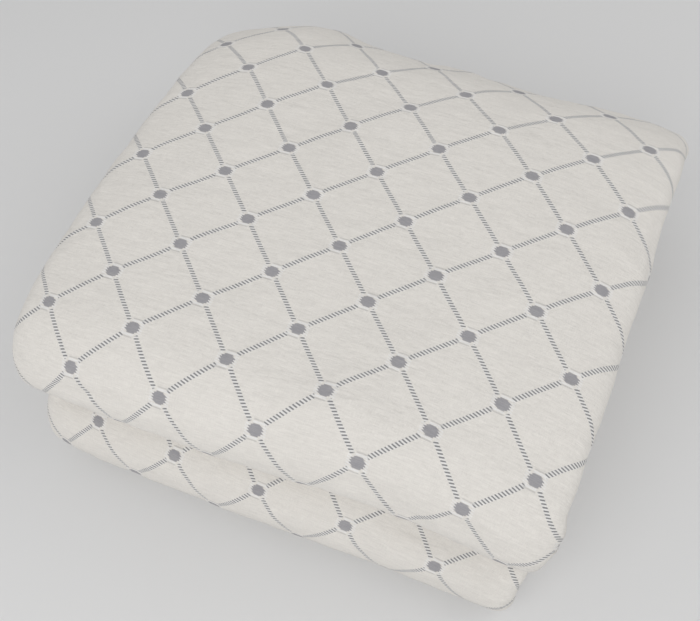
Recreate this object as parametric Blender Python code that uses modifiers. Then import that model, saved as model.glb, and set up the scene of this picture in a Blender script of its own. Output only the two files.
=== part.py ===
"""A woven bedspread, folded for the shelf.

The cloth is laid double, its sides are turned in so that the strip is six plies
thick, and the ends of the strip are brought to the middle and closed like a book.
The front shows two soft rolls, one above the other, and the back one wide turn.
X runs along the rolls, Y from the rolls to the back, and Z is up from the table.
"""
import bmesh
import bpy
from math import cos, pi, sin

# Driving dimensions, in metres
WIDTH = 0.4075
CLOTH = 0.0028
PLY_PITCH = 0.0066
PLIES = 6
ROLL_GAP = 0.005
TIER_GAP = 0.0075
FRONT_TO_SPINE = 0.2870
NOSE_STRETCH = {"upper": 1.25, "lower": 1.0}
SPINE_PRESS = 0.80
HEM_SETBACK = 0.006
TUCK_SETBACK = 0.003
TAIL_REACH = {"upper": 0.007, "lower": 0.003}

# Worked out from them
TOP_PLY = PLIES - 1
STRIP = TOP_PLY * PLY_PITCH + CLOTH
PASS_STEP = STRIP + ROLL_GAP
HEIGHT = 4 * STRIP + 2 * ROLL_GAP + TIER_GAP
LOW_PASS = STRIP / 2
LOW_TAIL = LOW_PASS + PASS_STEP
HIGH_TAIL = LOW_TAIL + STRIP + TIER_GAP
HIGH_PASS = HIGH_TAIL + PASS_STEP
ROLL_DEPTH = (PASS_STEP + STRIP) / 2 * NOSE_STRETCH["upper"]
SPINE_DEPTH = HEIGHT / 2 * SPINE_PRESS
DEPTH = ROLL_DEPTH + FRONT_TO_SPINE + SPINE_DEPTH
FRONT = ROLL_DEPTH - DEPTH / 2
SPINE = FRONT + FRONT_TO_SPINE
LEFT_AXIS = -WIDTH / 2 + (TOP_PLY * PLY_PITCH + CLOTH) / 2
RIGHT_AXIS = WIDTH / 2 - (3 * PLY_PITCH + CLOTH) / 2
HEM = RIGHT_AXIS + HEM_SETBACK
TUCK = LEFT_AXIS + TUCK_SETBACK

# The strip seen from its end: the plies, and the turns between them.
# A turn's start is the place of its axis, and its end the side that it bulges to.
# part, first level, last level, start, end, steps
SECTION = (
    ("ply", 0, 0, HEM, LEFT_AXIS, 5),
    ("turn", 0, 5, LEFT_AXIS, -1, 7),
    ("ply", 5, 5, LEFT_AXIS, RIGHT_AXIS, 5),
    ("turn", 5, 2, RIGHT_AXIS, 1, 5),
    ("ply", 2, 2, RIGHT_AXIS, TUCK, 5),
    ("turn", 2, 3, TUCK, -1, 3),
    ("ply", 3, 3, TUCK, RIGHT_AXIS, 5),
    ("turn", 3, 4, RIGHT_AXIS, 1, 3),
    ("ply", 4, 4, RIGHT_AXIS, LEFT_AXIS, 5),
    ("turn", 4, 1, LEFT_AXIS, -1, 5),
    ("ply", 1, 1, LEFT_AXIS, HEM, 5),
)

# The strip's way from the tail of the upper roll to the tail of the lower one,
# written in the same manner with heights in place of levels.
# part, first height, last height, start, end, steps
WAY = (
    ("pass", HIGH_TAIL, HIGH_TAIL, SPINE + TAIL_REACH["upper"], FRONT, 5),
    ("turn", HIGH_TAIL, HIGH_PASS, FRONT, -1, 7),
    ("pass", HIGH_PASS, HIGH_PASS, FRONT, SPINE, 5),
    ("turn", HIGH_PASS, LOW_PASS, SPINE, 1, 9),
    ("pass", LOW_PASS, LOW_PASS, SPINE, FRONT, 5),
    ("turn", LOW_PASS, LOW_TAIL, FRONT, -1, 7),
    ("pass", LOW_TAIL, LOW_TAIL, FRONT, SPINE + TAIL_REACH["lower"], 5),
)

# How the pile has settled, in metres and in shares of its half width and half depth
CROWN = 0.0077
CROWN_FALL = {"across": 0.0074, "front": 0.0065, "back": 0.0100}
EDGE_FALL = {"side": 0.0170, "back": 0.0100}
EDGE_SHARPNESS = 6
CROWN_AT = (0.10, 0.05)
CORNER_DRAW = {"front_left": 0.03, "front_right": 0.03, "back_left": 0.030, "back_right": -0.005}
CORNER_SHARPNESS = 6
LEFT_BOW = 0.006
LEFT_FLARE = 0.004
RIGHT_SLANT = 0.006
BACK_BOW = 0.013
BACK_BOW_AT = (-0.45, 0.40)
LOWER_TIER_IN = 0.0065
LOWER_TIER_NARROWING = 0.0040
LOWER_TIER_FORWARD = 0.019
UNDERSIDE_LIFT = 0.0005

# Soft swells and hollows of the upper side
# place across, place in depth, height, half width across, half width in depth
SWELLS = (
    (0.92, -0.95, -0.0190, 0.42, 0.42),
    (0.33, -0.80, 0.0070, 0.30, 0.35),
    (-0.75, -0.85, -0.0030, 0.30, 0.30),
    (0.45, 0.35, 0.0020, 0.40, 0.40),
)


def half_turn(low, high, axis, side, share):
    """Point and heading at a share of the half circle from one height to another."""
    radius = abs(high - low) / 2
    middle = (low + high) / 2
    climb = 1 if high > low else -1
    angle = pi * share
    point = (axis + side * radius * sin(angle), middle - climb * radius * cos(angle))
    heading = (side * cos(angle), climb * sin(angle))
    return point, heading


def trace(rows, level_height):
    """Points and headings along a back and forth line given row by row."""
    samples = []
    for part, first, last, start, end, steps in rows:
        low = level_height(first)
        high = level_height(last)
        for step in range(steps):
            share = step / steps
            if part == "turn":
                samples.append(half_turn(low, high, start, end, share))
            else:
                along = 1 if end > start else -1
                samples.append(((start + (end - start) * share, low), (along, 0.0)))
    samples.append(((rows[-1][4], level_height(rows[-1][2])), (1.0, 0.0)))
    return samples


def ease(value):
    """Smooth step from 0 to 1."""
    value = min(max(value, 0.0), 1.0)
    return value * value * (3 - 2 * value)


def crown(across, deep):
    """Height that the pile has over its flat height at a place on it."""
    side = across - CROWN_AT[0]
    way = deep - CROWN_AT[1]
    fall = CROWN_FALL["back"] if way > 0 else CROWN_FALL["front"]
    height = CROWN - CROWN_FALL["across"] * side ** 2 - fall * way ** 2
    height -= EDGE_FALL["side"] * across ** EDGE_SHARPNESS
    if deep > 0:
        height -= EDGE_FALL["back"] * deep ** EDGE_SHARPNESS
    for x, y, rise, half_across, half_deep in SWELLS:
        far = ((across - x) / half_across) ** 2 + ((deep - y) / half_deep) ** 2
        height += rise / (1 + far) ** 2
    return height


def corner_draw(across, deep):
    """How much the four corners are drawn in, blended over the pile."""
    right = (1 + across) / 2
    back = (1 + deep) / 2
    front_draw = CORNER_DRAW["front_left"] * (1 - right) + CORNER_DRAW["front_right"] * right
    back_draw = CORNER_DRAW["back_left"] * (1 - right) + CORNER_DRAW["back_right"] * right
    return front_draw * (1 - back) + back_draw * back


def underside_lift(x, y, z):
    """How far the rim of the underside stands off the table between its corners."""
    across = abs(2 * x - LEFT_AXIS - RIGHT_AXIS) / (RIGHT_AXIS - LEFT_AXIS)
    deep = abs(2 * y - FRONT - SPINE) / (SPINE - FRONT)
    side_rim = ease(across * 4 - 3) * max(1 - deep ** 2, 0.0)
    end_rim = ease(deep * 4 - 3) * max(1 - across ** 2, 0.0)
    return UNDERSIDE_LIFT * (1 - z / HEIGHT) * (side_rim + end_rim)


def settle(x, y, z):
    """Move a point of the regular pile to where the soft pile has it."""
    lift = underside_lift(x, y, z)
    lower = 1 - ease(z / HEIGHT * 2.5 - 0.75)
    if y < FRONT:
        stretch = NOSE_STRETCH["upper"] * (1 - lower) + NOSE_STRETCH["lower"] * lower
        y = FRONT - stretch * (FRONT - y)
    if y > SPINE:
        y = SPINE + SPINE_PRESS * (y - SPINE)
    across = 2 * x / WIDTH
    deep = 2 * y / DEPTH
    draw = corner_draw(across, deep)
    new_x = x * (1 - draw * abs(deep) ** CORNER_SHARPNESS)
    new_y = y * (1 - draw * abs(across) ** CORNER_SHARPNESS)
    if across < 0:
        new_x -= across ** 2 * (LEFT_BOW * (1 - deep ** 2) - LEFT_FLARE * deep)
    else:
        new_x += RIGHT_SLANT * across ** 2 * deep
    if deep > 0:
        bow = ((across - BACK_BOW_AT[0]) / BACK_BOW_AT[1]) ** 2
        new_y += BACK_BOW * deep ** 2 / (1 + bow) ** 2
    new_x -= lower * (LOWER_TIER_IN + LOWER_TIER_NARROWING * across)
    new_y -= lower * LOWER_TIER_FORWARD * (1 - deep) / 2
    above_table = z - CLOTH / 2
    new_z = CLOTH / 2 + above_table * (1 + crown(across, deep) / HEIGHT) + lift
    return new_x, new_y, new_z


def cloth_point(section, way):
    """Place of a point of the cloth, from its places in the section and on the way."""
    (x, level), _ = section
    (y, z), (heading_y, heading_z) = way
    return settle(x, y - heading_z * level, z + heading_y * level)


def fold_cloth():
    """The middle surface of the whole cloth, as a folded grid."""
    def level_height(level):
        return (level - TOP_PLY / 2) * PLY_PITCH

    section = trace(SECTION, level_height)
    way = trace(WAY, lambda height: height)
    columns = len(section) - 1
    rows = len(way) - 1
    bm = bmesh.new()
    bmesh.ops.create_grid(bm, x_segments=columns, y_segments=rows, size=0.5)
    for vert in bm.verts:
        column = round((vert.co.x + 0.5) * columns)
        row = round((vert.co.y + 0.5) * rows)
        vert.co = cloth_point(section[column], way[row])
    mesh = bpy.data.meshes.new("bedspread")
    bm.to_mesh(mesh)
    bm.free()
    return mesh


def centre_on_table(mesh):
    """Put the middle of the pile's outline over the origin."""
    for axis in (0, 1):
        places = [vert.co[axis] for vert in mesh.vertices]
        middle = (min(places) + max(places)) / 2
        for vert in mesh.vertices:
            vert.co[axis] -= middle


def cloth_material():
    """Cream jacquard with a dry, matt face."""
    material = bpy.data.materials.new("cream_jacquard")
    material.use_nodes = True
    shader = material.node_tree.nodes["Principled BSDF"]
    shader.inputs["Base Color"].default_value = (0.70, 0.68, 0.64, 1.0)
    shader.inputs["Roughness"].default_value = 0.9
    shader.inputs["Metallic"].default_value = 0.0
    return material


def main():
    for old in list(bpy.data.objects):
        bpy.data.objects.remove(old, do_unlink=True)
    collection = bpy.data.collections.new("bedspread")
    bpy.context.scene.collection.children.link(collection)
    mesh = fold_cloth()
    centre_on_table(mesh)
    mesh.materials.append(cloth_material())
    mesh.shade_smooth()
    bedspread = bpy.data.objects.new("bedspread", mesh)
    collection.objects.link(bedspread)
    thickness = bedspread.modifiers.new("cloth thickness", "SOLIDIFY")
    thickness.thickness = CLOTH
    thickness.offset = 0.0
    thickness.use_even_offset = True


main()
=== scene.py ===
"""A woven bedspread, folded for the shelf.

The cloth is one sheet: laid double, its sides turned in, the ends of the strip
brought to the middle and closed like a book. This file repeats the folding of the
part's source with finer steps, adds the soft creases, and gives the jacquard.
"""
import math

import bpy
import numpy as np
from bpy.props import FloatProperty, FloatVectorProperty, IntProperty, PointerProperty
from mathutils import Matrix, Vector


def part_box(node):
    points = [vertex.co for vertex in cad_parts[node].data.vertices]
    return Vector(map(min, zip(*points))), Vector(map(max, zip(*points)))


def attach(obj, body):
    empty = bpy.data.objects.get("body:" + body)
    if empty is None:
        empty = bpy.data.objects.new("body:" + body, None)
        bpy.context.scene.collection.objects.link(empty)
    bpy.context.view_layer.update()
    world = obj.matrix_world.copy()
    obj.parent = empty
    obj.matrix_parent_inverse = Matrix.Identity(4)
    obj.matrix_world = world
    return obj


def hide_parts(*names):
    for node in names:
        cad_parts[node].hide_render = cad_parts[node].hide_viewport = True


bl_info = {
    "name": "Folded Bedspread",
    "version": (1, 0, 0),
    "blender": (4, 5, 0),
    "location": "3D View > Sidebar > Bedspread",
    "description": "A folded jacquard bedspread with a diamond lattice, and its stage",
    "category": "Object",
}

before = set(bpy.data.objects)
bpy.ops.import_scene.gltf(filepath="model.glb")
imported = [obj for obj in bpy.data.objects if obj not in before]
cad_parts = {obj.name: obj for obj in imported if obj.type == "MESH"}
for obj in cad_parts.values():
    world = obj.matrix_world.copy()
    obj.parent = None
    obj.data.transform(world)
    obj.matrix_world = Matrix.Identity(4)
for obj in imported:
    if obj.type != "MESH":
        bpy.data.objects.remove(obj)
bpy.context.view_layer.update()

MILLIMETRE = 0.001
PLIES = 6
TOP_PLY = PLIES - 1

# How the pile has settled, in metres and in shares of its half width and half depth
CROWN_FALL = {"across": 0.0074, "front": 0.0065, "back": 0.0100}
EDGE_FALL = {"side": 0.0170, "back": 0.0100}
EDGE_SHARPNESS = 6
CROWN_AT = (0.10, 0.05)
CORNER_DRAW = {"front_left": 0.042, "front_right": 0.02, "back_left": 0.030, "back_right": -0.030}
CORNER_SHARPNESS = 6
LEFT_BOW = 0.006
LEFT_FLARE = 0.004
RIGHT_SLANT = 0.006
# bows of the back edge: height, place across, half width across
BACK_BOWS = ((0.023, -0.55, 0.34), (0.008, 0.90, 0.22))
LOWER_TIER_IN = 0.0065
LOWER_TIER_NARROWING = 0.0040
LOWER_TIER_FORWARD = 0.019
LOWER_TIER_LEFT_IN = 0.013
NOSE_SLANT = {"upper": 0.009, "lower": 0.006}
UNDERSIDE_LIFT = 0.0005

# Soft swells and hollows of the upper side
# place across, place in depth, height, half width across, half width in depth
SWELLS = (
    (0.92, -0.95, -0.0190, 0.42, 0.42),
    (0.33, -0.80, 0.0070, 0.30, 0.35),
    (-0.75, -0.85, -0.0030, 0.30, 0.30),
    (0.45, 0.35, 0.0020, 0.40, 0.40),
)

# Creases of the outer face, in diamonds across and along the cloth
# start across, start along, end across, end along, height in mm, half width in mm
CREASES = (
    # pinches of the upper roll's left end
    (-0.12, -0.33, 0.20, -0.32, -2.4, 2.2),
    (-0.22, -0.55, -0.08, -0.66, -2.2, 2.6),
    (0.25, -0.77, 1.05, -0.66, -2.0, 3.5),
    (0.80, -0.66, 1.22, -0.61, -2.0, 2.5),
    # small ones along the upper roll
    (2.15, -0.20, 2.50, -0.12, -0.9, 3.0),
    (2.90, -0.60, 3.15, -0.58, -0.9, 3.0),
    # soft troughs over the roll's front, to the right
    (3.40, -0.66, 4.25, -0.86, -3.5, 7.0),
    (3.75, -0.60, 4.05, -0.64, -1.2, 5.0),
    (4.40, -0.64, 5.00, -0.76, -3.5, 7.0),
    # curled ear and dimple of the front right corner
    (5.26, -0.15, 5.30, -0.62, -1.6, 4.0),
    (5.44, -0.15, 5.52, -0.85, 3.4, 4.0),
    # folds of the right side
    (5.30, 3.40, 5.42, 2.35, -1.2, 4.0),
    (5.46, 3.10, 5.54, 2.20, 1.4, 4.0),
    # uneven back edge
    (2.40, 4.72, 3.10, 4.78, 2.0, 9.0),
    (3.35, 4.74, 3.95, 4.72, -1.8, 9.0),
    (4.20, 4.66, 4.75, 4.72, 1.8, 8.0),
    # lower roll
    (0.05, 13.67, 0.45, 13.63, -1.8, 3.0),
    (1.23, 13.62, 1.26, 13.22, 1.2, 2.5),
    (1.95, 13.80, 2.45, 13.72, -1.2, 5.0),
    (3.80, 13.74, 5.10, 13.70, -3.2, 9.0),
    (4.95, 13.62, 5.25, 13.30, -2.2, 5.0),
)

# Limits of creases and small unevenness together, which keep the plies apart
DEEPEST_CREASE = 0.0020
HIGHEST_CREASE = 0.0040

# How the woven pattern lies on the fold, as read off the rows of dots
# place along the cloth, slip along it, both in diamonds
PATTERN_SLIP = (
    (-1.5, 0.05), (-1.0, 0.04), (-0.5, -0.01), (0.0, -0.035),
    (3.5, -0.035), (4.0, 0.07), (4.5, 0.14), (12.0, 0.0),
)
PATTERN_SHIFT = -0.025
LOWER_ROLL_SKEW = 0.043


class FoldSizes(bpy.types.PropertyGroup):
    """Sizes of the folded cloth."""
    width: FloatProperty(
        name="Width", description="Width of the pile along its rolls, before it settles",
        default=0.4075, min=0.2, max=1.0, unit="LENGTH")
    cloth: FloatProperty(
        name="Cloth", description="Thickness of the cloth",
        default=0.0028, min=0.001, max=0.01, unit="LENGTH")
    ply_pitch: FloatProperty(
        name="Ply pitch", description="Distance from one ply of the strip to the next",
        default=0.0066, min=0.003, max=0.02, unit="LENGTH")
    roll_gap: FloatProperty(
        name="Roll gap", description="Space inside each roll between the strip's two passes",
        default=0.005, min=0.001, max=0.03, unit="LENGTH")
    tier_gap: FloatProperty(
        name="Tier gap", description="Space between the upper and the lower half of the pile",
        default=0.0075, min=0.001, max=0.03, unit="LENGTH")
    front_to_spine: FloatProperty(
        name="Front to spine", description="Length of the straight run between the turns",
        default=0.2735, min=0.1, max=0.8, unit="LENGTH")
    upper_nose: FloatProperty(
        name="Upper nose", description="How far the upper roll is drawn out, 1 is a half circle",
        default=1.25, min=0.6, max=2.0)
    lower_nose: FloatProperty(
        name="Lower nose", description="How far the lower roll is drawn out, 1 is a half circle",
        default=1.0, min=0.6, max=2.0)
    spine_press: FloatProperty(
        name="Spine press", description="How far the turn at the back is flattened",
        default=0.95, min=0.3, max=1.2)
    crown: FloatProperty(
        name="Crown", description="Height of the pile's soft crown",
        default=0.0077, min=0.0, max=0.03, unit="LENGTH")
    crumple: FloatProperty(
        name="Crumple", description="Depth of the small unevenness of the outer face",
        default=0.0007, min=0.0, max=0.002, unit="LENGTH")
    crumple_seed: IntProperty(
        name="Crumple seed", description="Which arrangement of the small unevenness is used",
        default=7, min=0)


class WeaveSizes(bpy.types.PropertyGroup):
    """Pattern and colours of the jacquard."""
    diamond: FloatProperty(
        name="Diamond", description="Diagonal of one diamond of the lattice",
        default=0.070, min=0.02, max=0.3, unit="LENGTH")
    ground: FloatVectorProperty(
        name="Ground", description="Colour of the cream ground",
        default=(0.83, 0.80, 0.755), subtype="COLOR", size=3, min=0, max=1)
    dot_thread: FloatVectorProperty(
        name="Dot thread", description="Colour of the grey thread in the dots",
        default=(0.33, 0.325, 0.35), subtype="COLOR", size=3, min=0, max=1)
    dash_thread: FloatVectorProperty(
        name="Dash thread", description="Colour of the grey dashes of the lattice lines",
        default=(0.27, 0.27, 0.275), subtype="COLOR", size=3, min=0, max=1)
    light_thread: FloatVectorProperty(
        name="Light thread", description="Colour of the pale strokes beside each dot",
        default=(0.88, 0.87, 0.86), subtype="COLOR", size=3, min=0, max=1)
    relief: FloatProperty(
        name="Relief", description="Height of the woven pattern over the ground",
        default=0.0003, min=0.0, max=0.002, unit="LENGTH")


class StageSizes(bpy.types.PropertyGroup):
    """Floor, light and camera."""
    floor: FloatVectorProperty(
        name="Floor", description="Colour of the floor",
        default=(0.745, 0.745, 0.745), subtype="COLOR", size=3, min=0, max=1)
    sky: FloatProperty(
        name="Sky", description="Strength of the even light from all around",
        default=0.56, min=0.0, max=5.0)
    key: FloatProperty(
        name="Key", description="Power of the large soft light in front",
        default=10.5, min=0.0, max=500.0, subtype="POWER", unit="POWER")
    fill: FloatProperty(
        name="Fill", description="Power of the soft light at the right",
        default=4.6, min=0.0, max=500.0, subtype="POWER", unit="POWER")
    lens: FloatProperty(
        name="Lens", description="Focal length of the camera in millimetres",
        default=44.23, min=10, max=200)


class Pile:
    """Heights and places of the folded strip, worked out from its sizes."""

    def __init__(self, sizes):
        self.sizes = sizes
        self.strip = TOP_PLY * sizes.ply_pitch + sizes.cloth
        pass_step = self.strip + sizes.roll_gap
        self.height = 4 * self.strip + 2 * sizes.roll_gap + sizes.tier_gap
        self.low_pass = self.strip / 2
        self.low_tail = self.low_pass + pass_step
        self.high_tail = self.low_tail + self.strip + sizes.tier_gap
        self.high_pass = self.high_tail + pass_step
        roll_depth = (pass_step + self.strip) / 2 * sizes.upper_nose
        spine_depth = self.height / 2 * sizes.spine_press
        self.depth = roll_depth + sizes.front_to_spine + spine_depth
        self.front = roll_depth - self.depth / 2
        self.spine = self.front + sizes.front_to_spine
        self.left = -sizes.width / 2 + self.strip / 2
        self.right = sizes.width / 2 - (3 * sizes.ply_pitch + sizes.cloth) / 2
        self.hem = self.right + 0.006
        self.tuck = self.left + 0.003

    def section_rows(self):
        """The strip seen from its end: plies and turns, with levels and steps."""
        left, right, tuck, hem = self.left, self.right, self.tuck, self.hem
        return (
            ("ply", 0, 0, hem, left, 12),
            ("turn", 0, 5, left, -1, 16),
            ("face", 5, 5, left, right, 76),
            ("turn", 5, 2, right, 1, 11),
            ("ply", 2, 2, right, tuck, 12),
            ("turn", 2, 3, tuck, -1, 4),
            ("ply", 3, 3, tuck, right, 12),
            ("turn", 3, 4, right, 1, 5),
            ("ply", 4, 4, right, left, 12),
            ("turn", 4, 1, left, -1, 7),
            ("ply", 1, 1, left, hem, 12),
        )

    def way_rows(self):
        """The strip's way from the tail of the upper roll to the tail of the lower one."""
        front, spine = self.front, self.spine
        high_tail, high_pass = self.high_tail, self.high_pass
        low_tail, low_pass = self.low_tail, self.low_pass
        return (
            ("ply", high_tail, high_tail, spine + 0.007, front, 16),
            ("turn", high_tail, high_pass, front, -1, 34),
            ("face", high_pass, high_pass, front, spine, 57),
            ("turn", high_pass, low_pass, spine, 1, 38),
            ("ply", low_pass, low_pass, spine, front, 18),
            ("turn", low_pass, low_tail, front, -1, 34),
            ("ply", low_tail, low_tail, front, spine + 0.003, 16),
        )


def ease(value):
    """Smooth step from 0 to 1."""
    value = np.clip(value, 0.0, 1.0)
    return value * value * (3 - 2 * value)


def trace(rows, level_height):
    """Places and headings along a back and forth line, one row of numbers a point."""
    points = []
    for part, first, last, start, end, steps in rows:
        low = level_height(first)
        high = level_height(last)
        for step in range(steps):
            share = step / steps
            if part == "turn":
                radius = abs(high - low) / 2
                climb = 1 if high > low else -1
                angle = math.pi * share
                points.append((
                    start + end * radius * math.sin(angle),
                    (low + high) / 2 - climb * radius * math.cos(angle),
                    end * math.cos(angle),
                    climb * math.sin(angle),
                ))
            else:
                if part == "ply":
                    share = 0.5 - 0.5 * math.cos(math.pi * share)
                along = 1.0 if end > start else -1.0
                points.append((start + (end - start) * share, low, along, 0.0))
    points.append((rows[-1][4], level_height(rows[-1][2]), 1.0, 0.0))
    return np.array(points)


def crown_height(across, deep, crown):
    """Height that the pile has over its flat height at each place."""
    side = across - CROWN_AT[0]
    way = deep - CROWN_AT[1]
    fall = np.where(way > 0, CROWN_FALL["back"], CROWN_FALL["front"])
    height = crown - CROWN_FALL["across"] * side ** 2 - fall * way ** 2
    height -= EDGE_FALL["side"] * across ** EDGE_SHARPNESS
    height -= EDGE_FALL["back"] * np.maximum(deep, 0) ** EDGE_SHARPNESS
    for x, y, rise, half_across, half_deep in SWELLS:
        far = ((across - x) / half_across) ** 2 + ((deep - y) / half_deep) ** 2
        height += rise / (1 + far) ** 2
    return height


def corner_draw(across, deep):
    """How much the four corners are drawn in, blended over the pile."""
    right = (1 + across) / 2
    back = (1 + deep) / 2
    front_draw = CORNER_DRAW["front_left"] * (1 - right) + CORNER_DRAW["front_right"] * right
    back_draw = CORNER_DRAW["back_left"] * (1 - right) + CORNER_DRAW["back_right"] * right
    return front_draw * (1 - back) + back_draw * back


def underside_lift(pile, x, y, z):
    """How far the rim of the underside stands off the table between its corners."""
    across = np.abs(2 * x - pile.left - pile.right) / (pile.right - pile.left)
    deep = np.abs(2 * y - pile.front - pile.spine) / (pile.spine - pile.front)
    side_rim = ease(across * 4 - 3) * np.maximum(1 - deep ** 2, 0)
    end_rim = ease(deep * 4 - 3) * np.maximum(1 - across ** 2, 0)
    return UNDERSIDE_LIFT * (1 - z / pile.height) * (side_rim + end_rim)


def settle(pile, x, y, z):
    """Move points of the regular pile to where the soft pile has them."""
    sizes = pile.sizes
    lift = underside_lift(pile, x, y, z)
    lower = 1 - ease(z / pile.height * 2.5 - 0.75)
    stretch = sizes.upper_nose * (1 - lower) + sizes.lower_nose * lower
    y = np.where(y < pile.front, pile.front - stretch * (pile.front - y), y)
    y = np.where(y > pile.spine, pile.spine + sizes.spine_press * (y - pile.spine), y)
    across = 2 * x / sizes.width
    deep = 2 * y / pile.depth
    draw = corner_draw(across, deep)
    new_x = x * (1 - draw * np.abs(deep) ** CORNER_SHARPNESS)
    new_y = y * (1 - draw * np.abs(across) ** CORNER_SHARPNESS)
    left_move = -(LEFT_BOW * (1 - deep ** 2) - LEFT_FLARE * deep)
    new_x += across ** 2 * np.where(across < 0, left_move, RIGHT_SLANT * deep)
    for rise, place, half_width in BACK_BOWS:
        far = ((across - place) / half_width) ** 2
        new_y += rise * np.maximum(deep, 0) ** 2 / (1 + far) ** 2
    new_x -= lower * (LOWER_TIER_IN + LOWER_TIER_NARROWING * across)
    new_x += lower * LOWER_TIER_LEFT_IN * np.minimum(across, 0) ** 4
    new_y -= lower * LOWER_TIER_FORWARD * (1 - deep) / 2
    slant = NOSE_SLANT["upper"] * (1 - lower) + NOSE_SLANT["lower"] * lower
    new_y += slant * ease((across + 0.4) / 1.1) * np.minimum(deep, 0) ** 6
    above_table = z - sizes.cloth / 2
    crown = crown_height(across, deep, sizes.crown)
    new_z = sizes.cloth / 2 + above_table * (1 + crown / pile.height) + lift
    return np.stack([new_x, new_y, new_z], axis=-1)


def run_length(points):
    """Distance along a line of points from its first one."""
    steps = np.linalg.norm(np.diff(points, axis=0), axis=1)
    return np.concatenate([[0.0], np.cumsum(steps)])


def lattice_places(pile, weave, section, way, points):
    """Each column's and each row's place in the lattice, in diamonds.

    The rows follow the outer face. The turn at the back and the pass under it take
    up what is needed for a whole number of diamonds between the two rolls.
    """
    counts = np.cumsum([0] + [row[5] for row in pile.section_rows()])
    face_start, face_end = counts[2], counts[3]
    middle = (face_start + face_end) // 2
    section_line = np.column_stack([section[:, 0], section[:, 1]])
    across = run_length(section_line)
    columns = (across - across[middle]) / weave.diamond + section[middle, 0] / weave.diamond + 2.5
    counts = np.cumsum([0] + [row[5] for row in pile.way_rows()])
    along = run_length(points[:, middle])
    start, spine, roll, tail = counts[2], counts[3], counts[5], counts[6]
    rows = (along - along[start]) / weave.diamond
    lower = (along - along[tail]) / weave.diamond + round(rows[tail] + 0.4)
    share = (along - along[spine]) / (along[roll] - along[spine])
    between = rows[spine] + share * (lower[roll] - rows[spine])
    places = np.arange(len(way))
    rows = np.where(places > spine, between, rows)
    rows = np.where(places > roll, lower, rows)
    return columns, rows


def outward(points):
    """Unit normals of the middle surface, pointing out on the outer face."""
    across = np.gradient(points, axis=1)
    along = np.gradient(points, axis=0)
    normals = np.cross(across, along)
    length = np.linalg.norm(normals, axis=2, keepdims=True)
    return normals / np.maximum(length, 1e-12)


def soft_noise(across, along, cell, seed):
    """Smooth seeded unevenness from -1 to 1 with cells of the given size."""
    random = np.random.default_rng(seed)
    table = random.uniform(-1, 1, (64, 64))
    x = across / cell
    y = along / cell
    column = np.floor(x).astype(int)
    row = np.floor(y).astype(int)
    u = ease(x - column)
    v = ease(y - row)
    low = table[row % 64, column % 64] * (1 - u) + table[row % 64, (column + 1) % 64] * u
    next_row = (row + 1) % 64
    high = table[next_row, column % 64] * (1 - u) + table[next_row, (column + 1) % 64] * u
    return low * (1 - v) + high * v


def crease_field(across, along, diamond):
    """Height of the listed creases over the outer face, in metres."""
    height = np.zeros_like(across)
    for s0, t0, s1, t1, rise, half_width in CREASES:
        length = math.hypot(s1 - s0, t1 - t0)
        ds = (s1 - s0) / length
        dt = (t1 - t0) / length
        share = ((across - s0) * ds + (along - t0) * dt) / length
        off = ((across - s0) * dt - (along - t0) * ds) * diamond / (half_width * MILLIMETRE)
        fade = ease(np.minimum(share, 1 - share) * 2.5 + 0.3)
        height += rise * MILLIMETRE * fade / (1 + off ** 2) ** 1.5
    return height


def wrinkle(pile, weave, points, columns, rows):
    """Move the outer face along its normals by the creases and the small crumple.

    Both fade out where the face turns inside the pile, so the plies keep their gaps.
    """
    sizes = pile.sizes
    counts = np.cumsum([0] + [row[5] for row in pile.section_rows()])
    column_share = np.zeros(len(columns))
    column_share[counts[2]:counts[3] + 1] = 1
    wrap = np.arange(counts[1], counts[2])
    column_share[wrap] = ease((wrap - counts[1]) / (counts[2] - counts[1]) * 1.6)
    roll = np.arange(counts[3], counts[4])
    column_share[roll] = ease((counts[4] - roll) / (counts[4] - counts[3]) * 1.6)
    counts = np.cumsum([0] + [row[5] for row in pile.way_rows()])
    row_share = np.ones(len(rows))
    places = np.arange(len(rows))
    row_share *= ease((places - counts[1]) / 10)
    row_share *= 1 - ease((places - counts[4] + 12) / 12) * (1 - ease((places - counts[5]) / 12))
    row_share *= 1 - ease((places - counts[6] + 8) / 8)
    across, along = np.meshgrid(columns, rows)
    height = crease_field(across, along, weave.diamond)
    seed = sizes.crumple_seed
    small = soft_noise(across + 7, along + 9, 0.34, seed)
    small += 0.6 * soft_noise(across * 0.7 + along * 0.7 + 9, along - across + 30, 0.21, seed + 1)
    small += 0.35 * soft_noise(across + 11, along + 13, 0.11, seed + 2)
    height += sizes.crumple * small
    height = np.clip(height, -DEEPEST_CREASE, HIGHEST_CREASE)
    share = row_share[:, None] * column_share[None, :]
    return points + outward(points) * (height * share)[:, :, None]


def pattern_places(columns, rows):
    """Where each point of the cloth lies in the woven pattern, in diamonds."""
    across, along = np.meshgrid(columns, rows)
    places, slips = zip(*PATTERN_SLIP)
    slip = np.interp(along, places, slips)
    skew = LOWER_ROLL_SKEW * (across - 2.4) * ease((along - 11.0) / 1.2)
    return np.stack([across + PATTERN_SHIFT, along + slip + skew], axis=-1)


def grid_mesh(name, points, pattern):
    """A mesh of quads over rows and columns of points, with the pattern as its UV map."""
    row_count, column_count = points.shape[:2]
    index = np.arange(row_count * column_count).reshape(row_count, column_count)
    corners = [index[:-1, :-1], index[:-1, 1:], index[1:, 1:], index[1:, :-1]]
    faces = np.stack(corners, axis=-1).reshape(-1, 4)
    mesh = bpy.data.meshes.new(name)
    mesh.from_pydata(points.reshape(-1, 3).tolist(), [], faces.tolist())
    places = pattern.reshape(-1, 2)
    layer = mesh.uv_layers.new(name="cloth")
    layer.data.foreach_set("uv", places[faces.reshape(-1)].reshape(-1).astype(np.float32))
    mesh.update()
    return mesh


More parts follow.
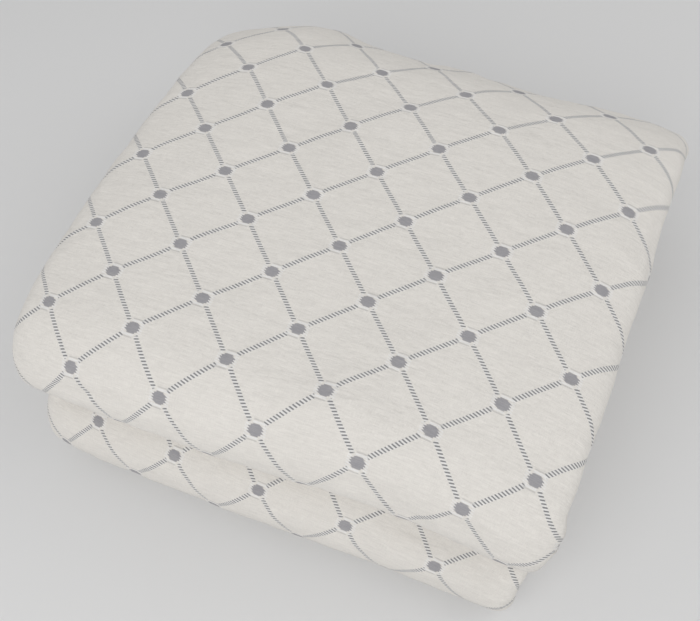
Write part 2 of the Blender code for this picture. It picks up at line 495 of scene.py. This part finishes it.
def plain_mesh(thing):
    """Replace an object's mesh by the result of its modifiers."""
    graph = bpy.context.evaluated_depsgraph_get()
    result = bpy.data.meshes.new_from_object(
        thing.evaluated_get(graph), preserve_all_data_layers=True, depsgraph=graph)
    thing.modifiers.clear()
    old = thing.data
    thing.data = result
    bpy.data.meshes.remove(old)
    thing.data.name = thing.name


class Value:
    """A socket's value in a node tree, where arithmetic adds Math nodes."""

    def __init__(self, nodes, socket):
        self.nodes = nodes
        self.socket = socket

    def __add__(self, other):
        return self.nodes.math("ADD", self, other)

    def __sub__(self, other):
        return self.nodes.math("SUBTRACT", self, other)

    def __mul__(self, other):
        return self.nodes.math("MULTIPLY", self, other)

    def __truediv__(self, other):
        return self.nodes.math("DIVIDE", self, other)

    def __rsub__(self, other):
        return self.nodes.math("SUBTRACT", other, self)

    def __rtruediv__(self, other):
        return self.nodes.math("DIVIDE", other, self)

    def __neg__(self):
        return self.nodes.math("MULTIPLY", self, -1.0)

    def __abs__(self):
        return self.nodes.math("ABSOLUTE", self)

    __radd__ = __add__
    __rmul__ = __mul__


class Finish:
    """The nodes of one material."""

    def __init__(self, name):
        self.material = bpy.data.materials.new(name)
        self.material.use_nodes = True
        self.tree = self.material.node_tree
        self.tree.nodes.clear()
        self.output = self.node("ShaderNodeOutputMaterial")

    def node(self, kind, settings=None, sockets=None):
        """Add a node with its settings and the values or links of its sockets."""
        node = self.tree.nodes.new(kind)
        for key, value in (settings or {}).items():
            setattr(node, key, value)
        for key, value in (sockets or {}).items():
            if isinstance(value, Value):
                self.tree.links.new(value.socket, node.inputs[key])
            else:
                node.inputs[key].default_value = value
        return node

    def out(self, node, key=0):
        """One output of a node, as a value."""
        return Value(self, node.outputs[key])

    def math(self, operation, *values):
        sockets = dict(enumerate(values))
        return self.out(self.node("ShaderNodeMath", {"operation": operation}, sockets))

    def larger(self, first, second):
        return self.math("MAXIMUM", first, second)

    def off_whole(self, value):
        """Signed distance to the nearest whole number."""
        return value - self.math("ROUND", value)

    def below(self, value, edge, soft):
        """1 where the value is below the edge, 0 above it, with a soft change."""
        settings = {"interpolation_type": "SMOOTHSTEP"}
        sockets = {0: value, 1: edge - soft, 2: edge + soft, 3: 1.0, 4: 0.0}
        return self.out(self.node("ShaderNodeMapRange", settings, sockets))

    def stripes(self, value, period, share, soft):
        """Even stripes across a value: 1 on a stripe, 0 between stripes."""
        phase = abs(self.off_whole(value * (1 / period))) * 2.0
        return self.below(phase, share, soft)

    def noise(self, vector, scale, detail=2.0, rough=0.5):
        sockets = {"Vector": vector, "Scale": scale, "Detail": detail, "Roughness": rough}
        return self.out(self.node("ShaderNodeTexNoise", {"noise_dimensions": "3D"}, sockets), "Fac")

    def stretched(self, vector, scale, turn=0.0):
        """The vector scaled by its own amounts and turned about Z."""
        sockets = {"Vector": vector, "Scale": scale, "Rotation": (0.0, 0.0, turn)}
        return self.out(self.node("ShaderNodeMapping", {"vector_type": "POINT"}, sockets))

    def mix(self, share, first, second, blend="MIX"):
        """Two colours mixed by a share."""
        settings = {"data_type": "RGBA", "blend_type": blend, "clamp_factor": True}
        sockets = {0: share, 6: first, 7: second}
        return self.out(self.node("ShaderNodeMix", settings, sockets), 2)


def rgba(colour):
    return (colour[0], colour[1], colour[2], 1.0)


def jacquard(weave):
    """Cream jacquard with a lattice of grey dashes and a dot at each crossing."""
    cloth = Finish("cream_jacquard")
    uv = cloth.out(cloth.node("ShaderNodeUVMap", {"uv_map": "cloth"}))
    split = cloth.node("ShaderNodeSeparateXYZ", sockets={0: uv})
    s = cloth.out(split, 0)
    t = cloth.out(split, 1)
    rising = cloth.off_whole(s + t)
    falling = cloth.off_whole(s - t)

    # the dashes cross both kinds of line at the same slant, a little off the weft
    lean_down = t + s * math.tan(math.radians(16))
    lean_up = t - s * math.tan(math.radians(15))
    shallow_dash = cloth.stripes(lean_down, 0.0297, 0.42, 0.20)
    steep_dash = cloth.stripes(lean_up, 0.0293, 0.42, 0.20)
    shallow_line = cloth.below(abs(falling) * 0.7071, 0.023, 0.004)
    shallow_line = shallow_line * cloth.below(-abs(rising) * 0.7071, -0.105, 0.008)
    steep_line = cloth.below(abs(rising) * 0.7071, 0.021, 0.004)
    steep_line = steep_line * cloth.below(-abs(falling) * 0.7071, -0.095, 0.008)
    dashes = cloth.larger(shallow_line * shallow_dash, steep_line * steep_dash)
    gaps = cloth.larger(shallow_line, steep_line)

    # place in the dot: its middle is where two lines would cross
    ds = (rising + falling) * 0.5
    dt = (rising - falling) * 0.5
    fringe = cloth.stripes(lean_down, 0.0245, 0.5, 0.2)
    wide = abs(ds) / (fringe * 0.016 + 0.062)
    tall = abs(dt) * (1 / 0.056)
    dot = cloth.below(cloth.larger(cloth.larger(wide, tall), (wide + tall) * 0.69), 1.0, 0.09)
    handed = ds * cloth.math("SIGN", dt)
    pale_stroke = cloth.below(abs(abs(dt) - 0.070), 0.009, 0.004)
    pale_stroke = pale_stroke * cloth.below(abs(handed - 0.025), 0.062, 0.012)
    thin_stroke = cloth.below(abs(abs(dt) - 0.092), 0.006, 0.004)
    thin_stroke = thin_stroke * cloth.below(abs(handed - 0.025), 0.062, 0.012)
    rim = cloth.below(abs(abs(ds) - 0.085), 0.022, 0.006) * cloth.below(abs(dt), 0.058, 0.012)
    rim = rim * cloth.stripes(lean_down + 0.012, 0.0245, 0.45, 0.15)

    weft = cloth.noise(cloth.stretched(uv, (9.0, 260.0, 1.0)), 1.0, 2.0, 0.6)
    warp = cloth.noise(cloth.stretched(uv, (210.0, 12.0, 1.0)), 1.0, 2.0, 0.6)
    slub = cloth.noise(cloth.stretched(uv, (3.0, 60.0, 1.0)), 1.0, 3.0, 0.6)
    blotch = cloth.noise(uv, 1.3, 3.0, 0.55)
    tone = (weft - 0.5) * 0.30 + (warp - 0.5) * 0.20 + (slub - 0.5) * 0.16 + (blotch - 0.5) * 0.05

    ink = cloth.larger(dot, cloth.larger(dashes, thin_stroke * 0.5))
    pale = cloth.larger(cloth.larger(pale_stroke, rim) * 0.9, gaps * 0.75)
    grain = (weft - 0.5) * 0.9 + 0.90
    ground = cloth.mix(pale, rgba(weave.ground), rgba(weave.light_thread))
    colour = cloth.mix(cloth.larger(dashes, thin_stroke * 0.3), ground, rgba(weave.dash_thread))
    colour = cloth.mix(dot * grain, colour, rgba(weave.dot_thread))
    bright = cloth.node("ShaderNodeCombineColor", {"mode": "RGB"})
    for key in range(3):
        cloth.tree.links.new((tone + 1.0).socket, bright.inputs[key])
    colour = cloth.mix(1.0, colour, cloth.out(bright), "MULTIPLY")

    crumple_a = cloth.noise(cloth.stretched(uv, (1.6, 5.0, 1.0), 0.9), 1.0, 3.0, 0.6)
    crumple_b = cloth.noise(cloth.stretched(uv, (1.6, 5.0, 1.0), -0.7), 1.0, 3.0, 0.6)
    height = ink * weave.relief + (weft - 0.5) * 0.00035 + (warp - 0.5) * 0.00022
    height = height + (crumple_a + crumple_b - 1.0) * 0.0018
    bump = cloth.node("ShaderNodeBump", sockets={"Height": height, "Distance": 1.0, "Strength": 1.0})
    rough = (slub - 0.5) * 0.1 + ink * -0.1 + 0.9
    shader = cloth.node("ShaderNodeBsdfPrincipled", sockets={
        "Base Color": colour,
        "Roughness": rough,
        "Metallic": 0.0,
        "IOR": 1.45,
        "Specular IOR Level": 0.25,
        "Sheen Weight": 0.12,
        "Sheen Roughness": 0.5,
        "Normal": cloth.out(bump),
    })
    cloth.tree.links.new(shader.outputs[0], cloth.output.inputs[0])
    return cloth.material


def floor_material(stage):
    """Plain pale surface with a faint unevenness."""
    floor = Finish("pale_floor")
    place = floor.out(floor.node("ShaderNodeTexCoord"), "Object")
    cloud = floor.noise(place, 2.0, 2.0, 0.5)
    low = tuple(c * 0.985 for c in stage.floor) + (1.0,)
    high = tuple(min(c * 1.015, 1.0) for c in stage.floor) + (1.0,)
    shader = floor.node("ShaderNodeBsdfPrincipled", sockets={
        "Base Color": floor.mix(cloud, low, high),
        "Roughness": 0.75,
        "Specular IOR Level": 0.2,
    })
    floor.tree.links.new(shader.outputs[0], floor.output.inputs[0])
    return floor.material


def soft_light(context, name, power, place):
    """A wide disk of light that faces the pile."""
    light = bpy.data.lights.new(name, "AREA")
    light.shape = "DISK"
    light.size = 1.6
    light.energy = power
    lamp = bpy.data.objects.new(name, light)
    lamp.location = place
    aim = Vector((0.0, 0.0, 0.05)) - lamp.location
    lamp.rotation_euler = aim.to_track_quat("-Z", "Y").to_euler()
    context.scene.collection.objects.link(lamp)


class BEDSPREAD_OT_folded_cloth(bpy.types.Operator):
    """Fold the cloth and give it its creases and its jacquard"""
    bl_idname = "bedspread.folded_cloth"
    bl_label = "Folded Cloth"

    def execute(self, context):
        pile = Pile(context.scene.bedspread_fold)
        weave = context.scene.bedspread_weave

        def level_height(level):
            return (level - TOP_PLY / 2) * pile.sizes.ply_pitch

        section = trace(pile.section_rows(), level_height)
        way = trace(pile.way_rows(), float)
        x = section[None, :, 0] + 0 * way[:, None, 0]
        y = way[:, None, 0] - way[:, None, 3] * section[None, :, 1]
        z = way[:, None, 1] + way[:, None, 2] * section[None, :, 1]
        points = settle(pile, x, y, z)
        columns, rows = lattice_places(pile, weave, section, way, points)
        low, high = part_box("bedspread")
        for axis in (0, 1):
            middle = (points[:, :, axis].min() + points[:, :, axis].max()) / 2
            points[:, :, axis] += (low[axis] + high[axis]) / 2 - middle
        points = wrinkle(pile, weave, points, columns, rows)
        mesh = grid_mesh("bedspread_cloth", points, pattern_places(columns, rows))
        mesh.materials.append(jacquard(weave))
        mesh.shade_smooth()
        cloth = bpy.data.objects.new("bedspread_cloth", mesh)
        context.scene.collection.objects.link(cloth)
        thickness = cloth.modifiers.new("cloth thickness", "SOLIDIFY")
        thickness.thickness = pile.sizes.cloth
        thickness.offset = 0.0
        thickness.use_even_offset = True
        plain_mesh(cloth)
        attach(cloth, "root")
        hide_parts("bedspread")
        return {"FINISHED"}


class BEDSPREAD_OT_stage(bpy.types.Operator):
    """Add the floor, the soft light and the camera"""
    bl_idname = "bedspread.stage"
    bl_label = "Stage"

    def execute(self, context):
        stage = context.scene.bedspread_stage
        mesh = bpy.data.meshes.new("floor")
        half = 4.0
        corners = [(-half, -half, 0.0), (half, -half, 0.0), (half, half, 0.0), (-half, half, 0.0)]
        mesh.from_pydata(corners, [], [(0, 1, 2, 3)])
        mesh.materials.append(floor_material(stage))
        floor = bpy.data.objects.new("floor", mesh)
        context.scene.collection.objects.link(floor)

        world = bpy.data.worlds.new("soft_room")
        world.use_nodes = True
        background = world.node_tree.nodes["Background"]
        background.inputs["Color"].default_value = (1.0, 1.0, 1.0, 1.0)
        background.inputs["Strength"].default_value = stage.sky
        context.scene.world = world

        soft_light(context, "key", stage.key, (0.0, -1.2, 1.3))
        soft_light(context, "fill", stage.fill, (1.2, 0.6, 1.3))

        data = bpy.data.cameras.new("camera")
        data.lens = stage.lens
        data.sensor_width = 36.0
        data.sensor_fit = "HORIZONTAL"
        data.clip_start = 0.01
        camera = bpy.data.objects.new("camera", data)
        axes = Matrix((
            (0.92310, -0.30339, 0.23629),
            (0.38165, 0.79815, -0.46615),
            (-0.04717, 0.52049, 0.85257),
        ))
        camera.matrix_world = Matrix.Translation((0.1604, -0.3582, 0.6482)) @ axes.to_4x4()
        context.scene.collection.objects.link(camera)
        context.scene.camera = camera
        context.scene.view_settings.view_transform = "Standard"
        return {"FINISHED"}


class BEDSPREAD_PT_panel(bpy.types.Panel):
    """Sizes and steps of the folded bedspread"""
    bl_idname = "BEDSPREAD_PT_panel"
    bl_label = "Folded Bedspread"
    bl_space_type = "VIEW_3D"
    bl_region_type = "UI"
    bl_category = "Bedspread"

    def draw(self, context):
        layout = self.layout
        scene = context.scene
        for group in (scene.bedspread_fold, scene.bedspread_weave, scene.bedspread_stage):
            box = layout.box()
            for name in group.bl_rna.properties.keys():
                if name not in ("rna_type", "name"):
                    box.prop(group, name)
        layout.operator("bedspread.folded_cloth")
        layout.operator("bedspread.stage")


CLASSES = (
    FoldSizes,
    WeaveSizes,
    StageSizes,
    BEDSPREAD_OT_folded_cloth,
    BEDSPREAD_OT_stage,
    BEDSPREAD_PT_panel,
)


def register():
    for cls in CLASSES:
        bpy.utils.register_class(cls)
    bpy.types.Scene.bedspread_fold = PointerProperty(type=FoldSizes)
    bpy.types.Scene.bedspread_weave = PointerProperty(type=WeaveSizes)
    bpy.types.Scene.bedspread_stage = PointerProperty(type=StageSizes)


def unregister():
    del bpy.types.Scene.bedspread_stage
    del bpy.types.Scene.bedspread_weave
    del bpy.types.Scene.bedspread_fold
    for cls in reversed(CLASSES):
        bpy.utils.unregister_class(cls)


def main():
    register()
    bpy.ops.bedspread.stage()
    bpy.ops.bedspread.folded_cloth()


if __name__ == "__main__":
    main()
